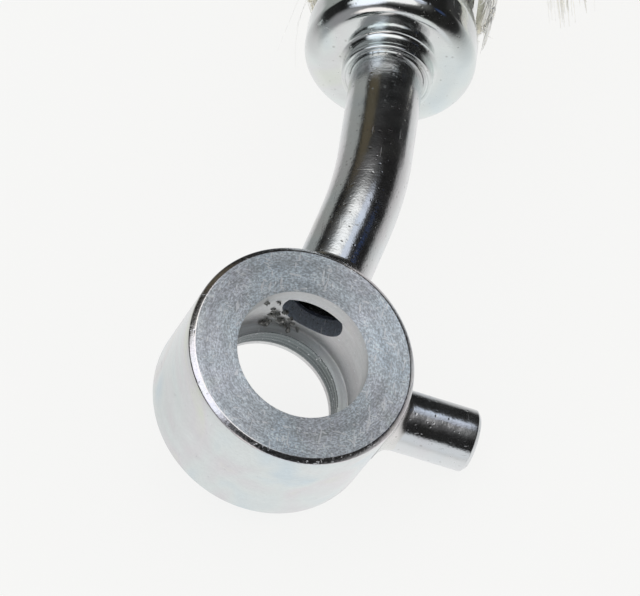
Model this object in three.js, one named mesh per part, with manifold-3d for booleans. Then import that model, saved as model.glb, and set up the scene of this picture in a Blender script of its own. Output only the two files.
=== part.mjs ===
// Power steering pressure hose: a rubber hose in a glass fibre sleeve, with a steel banjo end at each end.
// Millimetres, +Z up. It lies on the ground plane z = 0, and both ends point towards -Y.
import * as THREE from 'three';
import { mergeVertices } from 'three/addons/utils/BufferGeometryUtils.js';
import Module from 'manifold-3d';

const wasm = await Module();
wasm.setup();

// Clearance between two pieces that touch
const gap = 0.3;

// Banjo eye, a turned ring that an M16 hollow bolt passes through, with a groove for the fluid in its bore
const eyeRadius = 14.5;
const eyeHeight = 16.75;
const rimChamfer = 0.7;
const footChamfer = 0.4;
const boreRadius = 8.4;
const faceChamferWidth = 0.5;
const faceChamferDepth = 0.2;
const leadInWidth = 0.35;
const leadInLength = 0.6;
const grooveDepth = 1.4;
const grooveFromTop = 2.75;
const grooveWidth = 9.8;
const eyeSides = 40;

// Seat of the tube in the wall of the eye
const portRadius = 4;
const portWall = 2;
const tubeAboveMiddle = 1.31;

// Steel tube between the eye and the ferrule
const tubeRadius = 4.76;
const tubeWall = 1.1;
const tubeBendRadius = 37.1;
const tubeSides = 20;
const tubeStep = 3.5;

// Locating pin that keeps the eye from turning on its seat
const pinRadius = 4;
const pinReach = 25.3;
const pinSeatDepth = 3;
const pinChamfer = 0.5;
const pinBelowMiddle = 0.92;
const pinAngle = 78.5;

// Braze fillets round the tube and the pin
const brazeWidth = 2;
const brazeRise = 1.7;
const brazeEdge = 0.12;
const brazeSides = 24;

// Ferrule, a drawn steel cup that is crimped onto the hose
const ferruleWall = 1.9;
const ferruleLength = 28;
const frontWall = 1.8;
const shoulderRadius = 2.68;
const headLength = 5.5;
const neckLength = 2.51;
const neckWall = 0.87;
const neckFillet = 0.9;
const crimpDepth = 0.7;
const crimpSlope = 3.7;
const crimpFlats = 8;
const crimpFlatDepth = 0.3;
const tailDepth = 0.3;
const tailLength = 3.5;
const tailEdge = 0.3;
const innerCorner = 1.6;
const ferruleSides = 28;

// Insert inside the ferrule, with a socket for the tube and a barbed stem for the hose
const socketDepth = 6.2;
const socketFloor = 2;
const stemLength = 15.7;
const stemBore = 3;
const barbCount = 4;
const barbDepth = 0.4;
const barbStep = 0.5;
const insertSides = 20;

// Rubber hose, and the glass fibre sleeve over it and over the tail of each ferrule
const hoseBore = 4.76;
const hoseRadius = 9;
const hoseStep = 24;
const sleeveWall = 1;
const sleeveInset = 3.7;
const softSides = 12;

// Each end's own angles, in degrees, and its lengths of tube on either side of the bend
const nearEnd = {
  name: 'near',
  slope: -4.5,
  bendAngle: 18.65,
  bendTurn: 53.8,
  eyeTurn: -30,
  ferruleToBend: 22.92,
  bendToEye: 29.55,
  hasPin: true,
};
const farEnd = {
  name: 'far',
  slope: 2.65,
  bendAngle: 0,
  bendTurn: 0,
  eyeTurn: 0,
  ferruleToBend: 20,
  bendToEye: 22,
  hasPin: false,
};

// Centre line of the hose between its two cut ends, a loose U on the ground
const hoseRoute = [
  [4.1, 29.5, 15.74],
  [4.1, 47.2, 14.36],
  [4.1, 55.5, 13.71],
  [4.1, 65.5, 13.1],
  [4.1, 79.5, 12.8],
  [4.1, 99.5, 12.7],
  [3.4, 121.5, 12.7],
  [-0.3, 143.1, 12.7],
  [-8.3, 163.6, 12.7],
  [-20.5, 181.9, 12.7],
  [-36.2, 197.2, 12.7],
  [-54.8, 208.9, 12.7],
  [-75.4, 216.4, 12.7],
  [-97.2, 219.4, 12.7],
  [-119.1, 217.8, 12.7],
  [-140.1, 211.6, 12.7],
  [-159.4, 201.2, 12.7],
  [-176.1, 186.9, 12.7],
  [-189.4, 169.4, 12.7],
  [-198.8, 149.6, 12.7],
  [-203.8, 128.2, 12.86],
  [-205.1, 106.2, 13.71],
  [-205.2, 84.2, 14.49],
  [-205.2, 64.2, 14.5],
  [-205.2, 46.2, 13.95],
  [-205.2, 35.2, 13.45],
  [-205.2, 20.8, 12.78],
].map(([x, y, z]) => new THREE.Vector3(x, y, z));

// Sizes that follow from the ones above
const socketRadius = tubeRadius + gap;
const tubeSeatRadius = boreRadius + grooveDepth + portWall;
const pinSeatRadius = eyeRadius - pinSeatDepth;
const neckBore = tubeRadius + gap;
const neckRadius = neckBore + neckWall;
const ferruleInnerRadius = hoseRadius + gap;
const ferruleRadius = ferruleInnerRadius + ferruleWall;
const crimpRadius = ferruleRadius - crimpDepth;
const tailRadius = ferruleRadius - tailDepth;
const insertStart = frontWall + gap;
const socketEnd = insertStart + socketDepth;
const headEnd = socketEnd + socketFloor;
const hoseSeat = headEnd + gap;
const stemRadius = hoseBore - gap;
const insertHeadRadius = ferruleInnerRadius - innerCorner;
const sleeveBore = tailRadius + gap;

// Finishes
const zincPlate = new THREE.MeshStandardMaterial({ color: 0xc9ccd0, roughness: 0.25, metalness: 1 });
const machinedSteel = new THREE.MeshStandardMaterial({ color: 0xa9afb6, roughness: 0.4, metalness: 1 });
const brazeMetal = new THREE.MeshStandardMaterial({ color: 0xb9b8b0, roughness: 0.45, metalness: 1 });
const blackRubber = new THREE.MeshStandardMaterial({ color: 0x1b1b1c, roughness: 0.8, metalness: 0 });
const glassFibre = new THREE.MeshStandardMaterial({ color: 0xd9d2bd, roughness: 0.95, metalness: 0 });

const radians = THREE.MathUtils.degToRad;

// A closed mesh with shared corners and no empty triangles, as a solid that can be joined and cut
function toSolid(geometry) {
  const bare = geometry.clone();
  bare.deleteAttribute('normal');
  bare.deleteAttribute('uv');
  const merged = mergeVertices(bare, 1e-4);
  const corners = Array.from(merged.index.array);
  const kept = [];
  for (let i = 0; i < corners.length; i += 3) {
    const [a, b, c] = corners.slice(i, i + 3);
    if (a !== b && b !== c && c !== a) kept.push(a, b, c);
  }
  const vertProperties = new Float32Array(merged.attributes.position.array);
  const triVerts = new Uint32Array(kept);
  return new wasm.Manifold(new wasm.Mesh({ numProp: 3, vertProperties, triVerts }));
}

function toGeometry(solid) {
  const mesh = solid.getMesh();
  const geometry = new THREE.BufferGeometry();
  geometry.setAttribute('position', new THREE.BufferAttribute(mesh.vertProperties, 3));
  geometry.setIndex(new THREE.BufferAttribute(mesh.triVerts, 1));
  geometry.computeVertexNormals();
  return geometry;
}

// A ring turned about the Y axis from the corners of its section, each [radius, y], in either order
function turned(section, sides) {
  const points = section.map(([r, y]) => new THREE.Vector2(r, y));
  if (THREE.ShapeUtils.area(points) < 0) points.reverse();
  points.push(points[0].clone());
  return new THREE.LatheGeometry(points, sides);
}

// A plain round bar along +Y between two heights
function bar(radius, low, high, sides) {
  const geometry = new THREE.CylinderGeometry(radius, radius, high - low, sides);
  geometry.translate(0, (low + high) / 2, 0);
  return geometry;
}

// A quarter of an ellipse from the first corner to the second, hollow or full as seen from outside the metal
function quarter(from, to, hollow, steps) {
  const points = [];
  for (let i = 1; i < steps; i += 1) {
    const turn = (i / steps) * (Math.PI / 2);
    const along = hollow ? 1 - Math.cos(turn) : Math.sin(turn);
    const across = hollow ? Math.sin(turn) : 1 - Math.cos(turn);
    points.push([from[0] + (to[0] - from[0]) * along, from[1] + (to[1] - from[1]) * across]);
  }
  return points;
}

// A smooth S from the first corner of a section to the second
function easing(from, to, steps) {
  const points = [];
  for (let i = 1; i < steps; i += 1) {
    const along = i / steps;
    const across = (1 - Math.cos(along * Math.PI)) / 2;
    points.push([from[0] + (to[0] - from[0]) * across, from[1] + (to[1] - from[1]) * along]);
  }
  return points;
}

function named(name, geometry, material) {
  const mesh = new THREE.Mesh(geometry, material);
  mesh.name = name;
  return mesh;
}

// Eye about the Z axis, its middle at z = 0 and its tube seat on +Y
function eyeGeometry(hasPin) {
  const top = eyeHeight / 2;
  const grooveTop = top - grooveFromTop;
  const grooveRadius = boreRadius + grooveDepth;
  const ring = turned([
    [boreRadius, -top + leadInLength],
    [boreRadius + leadInWidth, -top],
    [eyeRadius - footChamfer, -top],
    [eyeRadius, -top + footChamfer],
    [eyeRadius, top - rimChamfer],
    [eyeRadius - rimChamfer, top],
    [boreRadius + faceChamferWidth, top],
    [boreRadius, top - faceChamferDepth],
    [boreRadius, grooveTop],
    [grooveRadius, grooveTop],
    [grooveRadius, grooveTop - grooveWidth],
    [boreRadius, grooveTop - grooveWidth],
  ], eyeSides);
  ring.rotateX(Math.PI / 2);
  const seat = bar(socketRadius, tubeSeatRadius, 2 * eyeRadius, tubeSides);
  seat.translate(0, 0, tubeAboveMiddle);
  const port = bar(portRadius, boreRadius / 2, tubeSeatRadius + gap, tubeSides);
  port.translate(0, 0, tubeAboveMiddle);
  let solid = toSolid(ring).subtract(toSolid(seat)).subtract(toSolid(port));
  if (hasPin) {
    const pinSeat = bar(pinRadius + gap, pinSeatRadius, 2 * eyeRadius, tubeSides);
    pinSeat.rotateZ(-radians(pinAngle));
    pinSeat.translate(0, 0, -pinBelowMiddle);
    solid = solid.subtract(toSolid(pinSeat));
  }
  return toGeometry(solid);
}

// Pin along +Y from its seat to its free end
function pinGeometry() {
  const root = pinSeatRadius + gap;
  const profile = [[0, root], [pinRadius, root], [pinRadius, pinReach - pinChamfer]];
  profile.push([pinRadius - pinChamfer, pinReach], [0, pinReach]);
  return new THREE.LatheGeometry(profile.map(([r, y]) => new THREE.Vector2(r, y)), tubeSides);
}

// Fillet round a bar of the given radius along +Y, where it leaves the outer wall of the eye
function brazeGeometry(radius) {
  const inner = radius + gap;
  const outer = inner + brazeWidth;
  const wallHeight = Math.sqrt(eyeRadius ** 2 - outer ** 2);
  const tip = [inner + brazeEdge, eyeRadius + gap + brazeRise];
  const root = [outer, wallHeight];
  const fillet = turned([
    [inner, wallHeight - gap],
    [outer, wallHeight - gap],
    root,
    ...quarter(tip, root, true, 5).reverse(),
    tip,
    [inner, tip[1]],
  ], brazeSides);
  const wall = new THREE.CylinderGeometry(eyeRadius + gap, eyeRadius + gap, 2 * eyeHeight, 2 * eyeSides);
  wall.rotateX(Math.PI / 2);
  return toGeometry(toSolid(fillet).subtract(toSolid(wall)));
}

// Ferrule about the Y axis, its front face at y = 0 and its open tail on +Y
function ferruleGeometry() {
  const crimpStart = headLength + crimpSlope;
  const tailStart = ferruleLength - tailLength;
  const shoulder = [[ferruleRadius - shoulderRadius, 0], [ferruleRadius, shoulderRadius]];
  const fillet = [[neckRadius, -neckFillet], [neckRadius + neckFillet, 0]];
  const slope = [[crimpRadius, crimpStart], [ferruleRadius, headLength]];
  const corner = [[ferruleInnerRadius, frontWall + innerCorner], [ferruleInnerRadius - innerCorner, frontWall]];
  const shell = turned([
    [neckBore, -neckLength],
    [neckBore, frontWall],
    corner[1],
    ...quarter(corner[1], corner[0], false, 4),
    corner[0],
    [ferruleInnerRadius, ferruleLength],
    [tailRadius - tailEdge, ferruleLength],
    [tailRadius, ferruleLength - tailEdge],
    [tailRadius, ferruleLength - tailLength / 2],
    [crimpRadius, tailStart],
    slope[0],
    ...easing(slope[0], slope[1], 3),
    slope[1],
    shoulder[1],
    ...quarter(shoulder[0], shoulder[1], false, 5).reverse(),
    shoulder[0],
    fillet[1],
    ...quarter(fillet[0], fillet[1], true, 3).reverse(),
    fillet[0],
    [neckRadius, -neckLength],
  ], ferruleSides);
  let solid = toSolid(shell);
  const crimpLength = tailStart - crimpStart;
  for (let i = 0; i < crimpFlats; i += 1) {
    const jaw = new THREE.BoxGeometry(ferruleRadius, crimpLength, ferruleRadius);
    jaw.translate(0, crimpStart + crimpLength / 2, crimpRadius - crimpFlatDepth + ferruleRadius / 2);
    jaw.rotateY((i / crimpFlats) * 2 * Math.PI);
    solid = solid.subtract(toSolid(jaw));
  }
  return toGeometry(solid);
}

// Insert about the Y axis, in the same frame as its ferrule
function insertGeometry() {
  const barbPitch = stemLength / (barbCount + 1);
  const barbs = [];
  for (let i = barbCount; i > 0; i -= 1) {
    const y = headEnd + i * barbPitch;
    barbs.push([stemRadius, y], [stemRadius - barbDepth, y - barbStep]);
  }
  return turned([
    [socketRadius, insertStart],
    [socketRadius, socketEnd],
    [stemBore, socketEnd],
    [stemBore, headEnd + stemLength],
    [stemRadius - barbDepth, headEnd + stemLength],
    ...barbs,
    [stemRadius - barbDepth, headEnd],
    [insertHeadRadius, headEnd],
    [insertHeadRadius, insertStart],
  ], insertSides);
}

// A line that runs straight towards -Y, bends in the YZ plane and runs straight on
class BentLine extends THREE.Curve {
  constructor(start, corner, angle, radius, after) {
    super();
    this.angle = angle;
    this.radius = radius;
    this.start = start;
    this.setback = radius * Math.tan(angle / 2);
    this.bendAt = corner - this.setback;
    this.before = start + this.bendAt;
    this.arc = radius * angle;
    this.after = after - this.setback;
  }

  getPoint(share, target = new THREE.Vector3()) {
    const travelled = share * (this.before + this.arc + this.after);
    if (travelled <= this.before) return target.set(0, this.start - travelled, 0);
    const swung = Math.min((travelled - this.before) / this.radius, this.angle);
    const past = Math.max(travelled - this.before - this.arc, 0);
    const y = -this.bendAt - this.radius * Math.sin(swung) - past * Math.cos(this.angle);
    const z = -this.radius * (1 - Math.cos(swung)) - past * Math.sin(this.angle);
    return target.set(0, y, z);
  }
}

// A round wall between two radii, swept along a line
function sweptTube(line, outer, inner, sides, steps) {
  const circle = (radius) => {
    const points = [];
    for (let i = 0; i < sides; i += 1) {
      const turn = (i / sides) * 2 * Math.PI;
      points.push(new THREE.Vector2(radius * Math.cos(turn), radius * Math.sin(turn)));
    }
    return points;
  };
  const section = new THREE.Shape(circle(outer));
  section.holes.push(new THREE.Path(circle(inner)));
  return new THREE.ExtrudeGeometry(section, { steps, extrudePath: line });
}

// Tube from inside the insert's socket to its seat in the eye, in the ferrule's frame
function tubeGeometry(end) {
  const inSocket = socketEnd - gap;
  const beforeEye = end.bendToEye - tubeSeatRadius - gap;
  const line = new BentLine(inSocket, end.ferruleToBend, radians(end.bendAngle), tubeBendRadius, beforeEye);
  const length = inSocket + end.ferruleToBend + beforeEye;
  return sweptTube(line, tubeRadius, tubeRadius - tubeWall, tubeSides, Math.round(length / tubeStep));
}

// Eye with its braze and, on the near end, its locating pin; +Y points along the tube
function eyeGroup(end) {
  const group = new THREE.Group();
  group.add(named(`${end.name}_banjo_eye`, eyeGeometry(end.hasPin), machinedSteel));
  const tubeBraze = named(`${end.name}_tube_braze`, brazeGeometry(tubeRadius), brazeMetal);
  tubeBraze.position.z = tubeAboveMiddle;
  group.add(tubeBraze);
  if (end.hasPin) {
    const pinMount = new THREE.Group();
    pinMount.position.z = -pinBelowMiddle;
    pinMount.rotation.z = -radians(pinAngle);
    pinMount.add(named(`${end.name}_locating_pin`, pinGeometry(), zincPlate));
    pinMount.add(named(`${end.name}_pin_braze`, brazeGeometry(pinRadius), brazeMetal));
    group.add(pinMount);
  }
  return group;
}

// One steel end; its origin is the cut end of the hose, and +Y points into the hose
function hoseEnd(end) {
  const front = new THREE.Group();
  front.position.y = -hoseSeat;
  front.add(named(`${end.name}_ferrule`, ferruleGeometry(), zincPlate));
  front.add(named(`${end.name}_insert`, insertGeometry(), zincPlate));

  const bend = radians(end.bendAngle);
  const bent = new THREE.Group();
  bent.rotation.y = radians(end.bendTurn);
  bent.add(named(`${end.name}_tube`, tubeGeometry(end), zincPlate));
  const eyeMount = new THREE.Group();
  const eyeY = -end.ferruleToBend - end.bendToEye * Math.cos(bend);
  eyeMount.position.set(0, eyeY, -end.bendToEye * Math.sin(bend));
  eyeMount.rotation.set(bend, radians(end.eyeTurn), 0);
  const eye = eyeGroup(end);
  eye.position.z = -tubeAboveMiddle;
  eyeMount.add(eye);
  bent.add(eyeMount);
  front.add(bent);

  const group = new THREE.Group();
  group.rotation.x = radians(end.slope);
  group.add(front);
  return group;
}

// The hose's route, drawn in at both ends by the given length
function routeLine(inset) {
  const points = hoseRoute.map((point) => point.clone());
  const last = points.length - 1;
  const pull = (point, towards) => point.addScaledVector(towards.clone().sub(point).normalize(), inset);
  pull(points[0], points[1]);
  pull(points[last], points[last - 1]);
  return new THREE.CatmullRomCurve3(points);
}

function softTube(inset, outer, inner) {
  const line = routeLine(inset);
  const roundInner = inner / Math.cos(Math.PI / softSides);
  return sweptTube(line, outer, roundInner, softSides, Math.round(line.getLength() / hoseStep));
}

const object = new THREE.Group();

const near = hoseEnd(nearEnd);
near.position.copy(hoseRoute[0]);
object.add(near);

const far = hoseEnd(farEnd);
far.position.copy(hoseRoute[hoseRoute.length - 1]);
object.add(far);

object.add(named('hose', softTube(0, hoseRadius, hoseBore), blackRubber));
const sleeveInner = sleeveBore / Math.cos(Math.PI / softSides);
object.add(named('fibre_sleeve', softTube(sleeveInset, sleeveInner + sleeveWall, sleeveBore), glassFibre));

export default object;
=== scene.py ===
"""Looks of the power steering pressure hose: plated steel ends, a rubber hose and its fibre sleeve."""
import math
import random

import bmesh
import bpy
import numpy as np
from mathutils import Euler, Matrix, Vector


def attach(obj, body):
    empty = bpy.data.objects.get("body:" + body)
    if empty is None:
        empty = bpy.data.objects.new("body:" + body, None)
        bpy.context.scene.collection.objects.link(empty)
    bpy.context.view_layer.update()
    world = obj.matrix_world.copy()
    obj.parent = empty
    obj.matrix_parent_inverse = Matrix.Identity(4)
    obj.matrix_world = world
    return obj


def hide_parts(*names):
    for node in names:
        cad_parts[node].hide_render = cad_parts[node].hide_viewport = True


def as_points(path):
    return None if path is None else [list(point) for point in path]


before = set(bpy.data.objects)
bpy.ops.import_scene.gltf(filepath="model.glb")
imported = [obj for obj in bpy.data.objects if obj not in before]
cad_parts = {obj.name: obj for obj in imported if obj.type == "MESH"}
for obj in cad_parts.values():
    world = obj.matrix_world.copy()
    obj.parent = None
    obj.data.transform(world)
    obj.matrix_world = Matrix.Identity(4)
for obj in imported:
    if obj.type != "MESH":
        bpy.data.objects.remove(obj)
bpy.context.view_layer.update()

# Sizes are in millimetres and angles in degrees, unless a comment says otherwise
MM = 0.001

# Camera of the photograph, in the part's frame, with its place in metres
CAMERA_PLACE = (62.894 * MM, -418.274 * MM, 491.745 * MM)
CAMERA_TURN = (40.215, 2.425, 6.199)
CAMERA_LENS = 281.25
CAMERA_SENSOR = 36

# Eye: a chamfer is (width, height), and a ripple of its face (radius, depth)
EYE_RADIUS = 14.5
EYE_HEIGHT = 16.75
RIM_CHAMFER = (0.66, 0.5)
FOOT_CHAMFER = 0.4
BORE_RADIUS = 8.4
FACE_CHAMFER = (0.5, 0.2)
LEAD_IN = (0.35, 0.6)
GROOVE_DEPTH = 1.4
GROOVE_FROM_TOP = 2.75
GROOVE_WIDTH = 9.8
PORT_RADIUS = 4
LAND_GROOVES = 4
LAND_PITCH = 0.75
LAND_DEPTH = 0.06
FACE_RIPPLES = [(11.4, 0), (10.95, 0.035), (10.45, 0), (9.9, 0.045), (9.4, 0), (9.15, 0.03)]
TUBE_SEAT = 11.8
TUBE_ABOVE_MIDDLE = 1.31

# Tube and pin
TUBE_RADIUS = 4.76
TUBE_WALL = 1.1
TUBE_BEND_RADIUS = 37.1
TUBE_IN_INSERT = 5.6
TUBE_RIM = 0.12
PIN_RADIUS = 4
PIN_REACH = 25.3
PIN_SEAT = 11.5
PIN_BELOW_MIDDLE = 0.92
PIN_ANGLE = 78.5
PIN_CHAMFER = 0.5
CLEARANCE = 0.3
SEAT_GAP = 0.04

# Numbers of points round a turned piece, and round a bar or a bar's fillet
EYE_COLUMNS = 192
CUTTER_COLUMNS = 64
FERRULE_COLUMNS = 160
BAR_COLUMNS = 96

# Braze fillets
BRAZE_WIDTH = 1.9
BRAZE_RISE = 1.6

# Ferrule, its front face at zero and its tail behind it
FERRULE_RADIUS = 11.2
FERRULE_LENGTH = 28
FRONT_WALL = 1.8
SHOULDER_RADIUS = 2.68
HEAD_LENGTH = 5.5
NECK_LENGTH = 2.51
NECK_BORE = 4.79
NECK_WALL = 1.14
NECK_STEP = 0.12
NECK_FILLET = 0.9
CRIMP_DEPTH = 0.7
CRIMP_SLOPE = 3.7
CRIMP_ROUNDING = 1.5
HEAD_ROUNDING = 2.5
CRIMP_FLATS = 8
CRIMP_FLAT_DEPTH = 0.3
TAIL_LENGTH = 3.5
TAIL_DEPTH = 0.3
TAIL_SLOPE = 1.6
INNER_RADIUS = 9.3
HOSE_SEAT = 10.6

# Hose and sleeve, with the sleeve's length in metres
HOSE_BORE = 4.76
HOSE_RADIUS = 9
HOSE_ROWS = 260
HOSE_COLUMNS = 48
SLEEVE_INSET = 3.7
SLEEVE_INNER = 11.3
SLEEVE_OUTER = 12.15
SLEEVE_CELLS = 28
CELL_STEPS = 4
SLEEVE_COLUMNS = CELL_STEPS * SLEEVE_CELLS
SLEEVE_INNER_ROWS = 90
SLEEVE_WAVINESS = 0.25
SLEEVE_RELIEF = 0.34

# Each end: slope, bend and turns of its pieces, and its straight lengths up to the bend and on to the eye
NEAR = {
    "slope": -4.5, "bend": 18.65, "turn": 53.8, "eye_turn": -30,
    "to_bend": 22.92, "to_eye": 29.55, "pin": True,
}
FAR = {
    "slope": 2.65, "bend": 0, "turn": 0, "eye_turn": 0,
    "to_bend": 20, "to_eye": 22, "pin": False,
}

# Route of the hose between its two cut ends, in metres
HOSE_ROUTE = [
    (0.0041, 0.0295, 0.01574), (0.0041, 0.0472, 0.01436), (0.0041, 0.0555, 0.01371),
    (0.0041, 0.0655, 0.0131), (0.0041, 0.0795, 0.0128), (0.0041, 0.0995, 0.0127),
    (0.0034, 0.1215, 0.0127), (-0.0003, 0.1431, 0.0127), (-0.0083, 0.1636, 0.0127),
    (-0.0205, 0.1819, 0.0127), (-0.0362, 0.1972, 0.0127), (-0.0548, 0.2089, 0.0127),
    (-0.0754, 0.2164, 0.0127), (-0.0972, 0.2194, 0.0127), (-0.1191, 0.2178, 0.0127),
    (-0.1401, 0.2116, 0.0127), (-0.1594, 0.2012, 0.0127), (-0.1761, 0.1869, 0.0127),
    (-0.1894, 0.1694, 0.0127), (-0.1988, 0.1496, 0.0127), (-0.2038, 0.1282, 0.01286),
    (-0.2051, 0.1062, 0.01371), (-0.2052, 0.0842, 0.01449), (-0.2052, 0.0642, 0.0145),
    (-0.2052, 0.0462, 0.01395), (-0.2052, 0.0352, 0.01345), (-0.2052, 0.0208, 0.01278),
]

# Frayed fibres; RIM_Y is from the ferrule's front face to the sleeve's cut edge, FLOOR_GAP is in metres
RIM_Y = HOSE_SEAT + SLEEVE_INSET
FLOOR_GAP = 0.00003
NEAR_RIM_STRANDS = 300
FAR_RIM_STRANDS = 420
FLANK_STRANDS = 34
GAP_STRANDS = 130
LONE_HAIRS = 3

# Each tuft: how far its tip is to the right of the ferrule's axis and behind its front face, its spread,
# the number of its strands, their thickness, and their tone from cream to grey
TUFTS = [
    (20.3, 10.4, 0.3, 7, 0.07, 0.2),
    (22.0, 10.3, 0.5, 24, 0.12, 1.0),
    (21.8, 9.9, 0.25, 4, 0.07, 0.3),
    (23.4, 14.2, 0.35, 7, 0.1, 1.55),
    (24.6, 13.1, 0.14, 5, 0.13, 1.75),
    (25.8, 12.4, 0.1, 2, 0.06, 0.3),
]

# Lumps of torn steel on the groove's wall beside the port: their middles in the part's frame and their sizes
BURRS = [
    (-6.22, -26.93, 22.6, 0.3), (-6.1, -26.85, 22.2, 0.2), (-5.25, -23.17, 18.26, 0.3),
    (-6.29, -22.71, 16.1, 0.42), (-6.0, -22.7, 15.4, 0.35), (-6.5, -22.5, 14.9, 0.4),
    (-7.21, -22.21, 13.85, 0.42), (-5.62, -21.93, 13.65, 0.4), (-4.88, -22.24, 15.24, 0.38),
    (-4.22, -21.97, 13.82, 0.34), (-3.59, -21.84, 11.37, 0.4), (-4.58, -21.89, 11.74, 0.36),
    (-7.75, -22.31, 12.94, 0.4), (-6.9, -22.0, 13.0, 0.34), (-5.3, -21.9, 12.4, 0.3),
    (-4.0, -21.85, 12.6, 0.3),
]

# Paper on the ground, which reaches this far each way in metres
FLOOR_REACH = 4.0
PAPER_TONE = (0.12, 0.12, 0.118, 1)
PAPER_GLOW = 0.888

# Brightness of the room by elevation in degrees: white paper below, a dark room, and soft light overhead
ROOM = [
    (-90, 0.88), (-42, 0.84), (-30, 0.7), (-20, 0.6), (-10, 0.42), (-3, 0.2), (2, 0.03), (9, 0.014),
    (36, 0.01), (43, 0.035), (50, 0.09), (55, 0.18), (60, 0.5), (65, 1.1), (75, 1.25), (90, 1.3),
]

# Each soft light: azimuth from +Y towards +X, elevation, half angle and soft edge in degrees, and its colour
SOFT_LIGHTS = [
    (-150, 8, 10, 30, (0.27, 0.27, 0.28)),
    (-167, 12, 8, 8, (1.12, 1.04, 1.02)),
    (-95, 57, 10, 11, (1.06, 1.08, 1.13)),
    (-134, 53, 9, 15, (1.1, 1.14, 1.26)),
    (-43, 5, 13, 9, (0.3, 0.31, 0.3)),
    (-23, 33, 3, 12, (0.085, 0.072, 0.048)),
    (40, -7, 5, 10, (0.035, 0.035, 0.035)),
    (172, -8, 10, 12, (0.72, 0.74, 0.76)),
    (58, 56, 5, 7, (0.7, 0.76, 0.88)),
    (77, 57, 3, 5, (0.48, 0.51, 0.58)),
    (80, 31, 3, 6, (0.03, 0.05, 0.115)),
    (125, 73, 10, 10, (1.05, 1.05, 1.05)),
]

# Colour of the paper and of the light that it throws back
PALE = (0.92, 0.92, 0.912, 1)

# Places of the factor, the two colours and the result among a colour mix's sockets
MIX_FACTOR, MIX_FIRST, MIX_SECOND, MIX_RESULT = 0, 6, 7, 2

# Finishes of the eye, in the order of its materials; the land and the port carry painted shade, the port also
# a painted bluish reflection, and the shelf painted light
FACE, WALL, BORE, PORT, LAND, RIM, SHELF = range(7)


# Objects

def new_object(name, data):
    made = bpy.data.objects.new(name, data)
    bpy.context.scene.collection.objects.link(made)
    return made


# Camera

def make_camera():
    data = bpy.data.cameras.new("camera")
    data.lens = CAMERA_LENS
    data.sensor_width = CAMERA_SENSOR
    data.clip_end = 20
    camera = new_object("camera", data)
    camera.location = CAMERA_PLACE
    camera.rotation_euler = Euler([math.radians(a) for a in CAMERA_TURN], "XYZ")
    bpy.context.scene.camera = camera


# Node helpers

def feed(node, **inputs):
    """Gives inputs of a node, by name or as i0, i1 and so on, a plain value or another node's socket."""
    for key, value in inputs.items():
        numbered = key[0] == "i" and key[1:].isdigit()
        socket = node.inputs[int(key[1:]) if numbered else key.replace("_", " ")]
        if isinstance(value, bpy.types.NodeSocket):
            node.id_data.links.new(value, socket)
        else:
            socket.default_value = value
    return node


def add(tree, kind, settings=None, **inputs):
    """A new node with these settings and inputs."""
    made = tree.nodes.new(kind)
    for key, value in (settings or {}).items():
        setattr(made, key, value)
    return feed(made, **inputs)


def math_node(tree, operation, *values):
    """The result of a sum on two or three values or sockets."""
    inputs = {f"i{index}": value for index, value in enumerate(values)}
    return add(tree, "ShaderNodeMath", {"operation": operation}, **inputs).outputs[0]


def span(tree, value, low, high, to_low=0.0, to_high=1.0):
    """A smooth step of a value from one range to another."""
    limits = {"From_Min": low, "From_Max": high, "To_Min": to_low, "To_Max": to_high}
    made = add(tree, "ShaderNodeMapRange", {"interpolation_type": "SMOOTHSTEP"}, Value=value, **limits)
    return made.outputs["Result"]


def blend_colours(tree, share, first, second, kind="MIX"):
    """The first colour, with this share of the second mixed in or laid over it."""
    inputs = {f"i{MIX_FACTOR}": share, f"i{MIX_FIRST}": first, f"i{MIX_SECOND}": second}
    made = add(tree, "ShaderNodeMix", {"data_type": "RGBA", "blend_type": kind}, **inputs)
    return made.outputs[MIX_RESULT]


def grey(tree, value):
    return add(tree, "ShaderNodeCombineColor", Red=value, Green=value, Blue=value).outputs[0]


def profile(tree):
    """The two coordinates of the profile UV: along the profile, and round the axis."""
    uv = add(tree, "ShaderNodeUVMap", {"uv_map": "profile"})
    parts = add(tree, "ShaderNodeSeparateXYZ", Vector=uv.outputs["UV"])
    return parts.outputs["X"], parts.outputs["Y"]


def relief(tree, *layers):
    """A normal from bumps laid over each other; each is (height, depth in millimetres, strength)."""
    under = {}
    for height, depth, strength in layers:
        made = add(tree, "ShaderNodeBump", Height=height, Distance=depth * MM, Strength=strength, **under)
        under = {"Normal": made.outputs["Normal"]}
    return made.outputs["Normal"]


def new_group(name, inputs, outputs):
    """An empty shader group and its sockets seen from inside; each input is (name, socket kind, default)."""
    group = bpy.data.node_groups.new(name, "ShaderNodeTree")
    for title, kind, default in inputs:
        socket = group.interface.new_socket(title, in_out="INPUT", socket_type=kind)
        if default is not None:
            socket.default_value = default
    for title, kind in outputs:
        group.interface.new_socket(title, in_out="OUTPUT", socket_type=kind)
    return group, group.nodes.new("NodeGroupInput").outputs, group.nodes.new("NodeGroupOutput").inputs


def place_group(tree, group, **inputs):
    return add(tree, "ShaderNodeGroup", {"node_tree": group}, **inputs)


# Shared effects

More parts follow.
